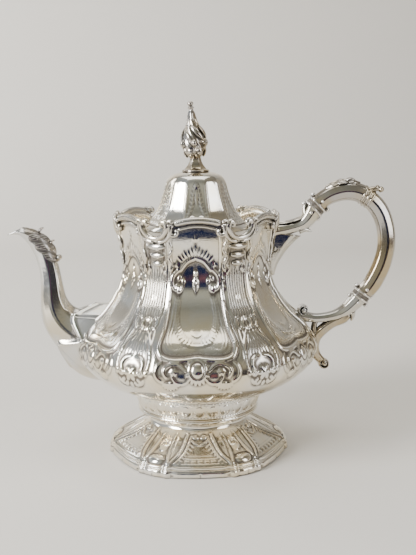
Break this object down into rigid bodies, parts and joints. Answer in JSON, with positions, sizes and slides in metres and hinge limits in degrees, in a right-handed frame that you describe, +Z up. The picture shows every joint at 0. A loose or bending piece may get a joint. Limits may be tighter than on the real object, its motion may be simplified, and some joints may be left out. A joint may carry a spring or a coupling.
{
  "type": "teapot",
  "caption": "Paneled baluster silver teapot on a pyramid foot, with scroll rim, hinged bell lid with bud finial, faceted spout and insulated scroll handle.",
  "frame": {"origin": "centre of the foot's resting plane, on the pot's axis", "axes": "+Z up along the pot's axis, +X towards the handle, -X towards the spout, -Y out of the middle of a wide panel"},
  "size_m": [0.3034, 0.1842, 0.275],
  "materials": {
    "silver": "polished raised silver with soft wear, chased work and dark tarnish in the recesses",
    "cast_silver": "cast and chased silver, bright on the crests and dark in the recesses",
    "ivory": "old polished bone insulating rings, darkened with age",
    "pin_metal": "dull filed silver pins and fittings"
  },
  "bodies": {
    "pot": {"body_shell": "silver", "body_floor": "silver", "foot_collar": "silver", "foot_bead": "silver", "foot_skirt": "silver", "foot_border": "silver", "rim_gallery": "cast_silver", "rim_scrolls": "cast_silver", "pilaster_drops": "cast_silver", "lid_seat": "silver", "hinge_pot_leaf": "silver", "hinge_pin": "pin_metal", "spout_shell": "silver", "spout_leaf": "cast_silver", "spout_root_leaf": "cast_silver", "upper_socket": "cast_silver", "upper_scroll": "cast_silver", "upper_insulator": "ivory", "upper_pins": "pin_metal", "handle_grip": "silver", "grip_leaf": "cast_silver", "grip_curl": "cast_silver", "lower_insulator": "ivory", "lower_pins": "pin_metal", "lower_socket": "cast_silver", "lower_brace": "cast_silver"},
    "lid": {"lid_shell": "silver", "lid_bezel": "silver", "hinge_lid_leaf": "silver", "finial_base": "cast_silver", "finial_bud": "cast_silver", "finial_spire": "cast_silver", "finial_stud": "pin_metal", "finial_nut": "pin_metal", "finial_washer": "pin_metal"}
  },
  "joints": [
    {"name": "lid_hinge", "type": "hinge", "parent": "pot", "child": "lid", "pos_m": [0.0434, 0, 0.1804], "axis": [0, 1, 0], "range_deg": [0, 75]}
  ]
}
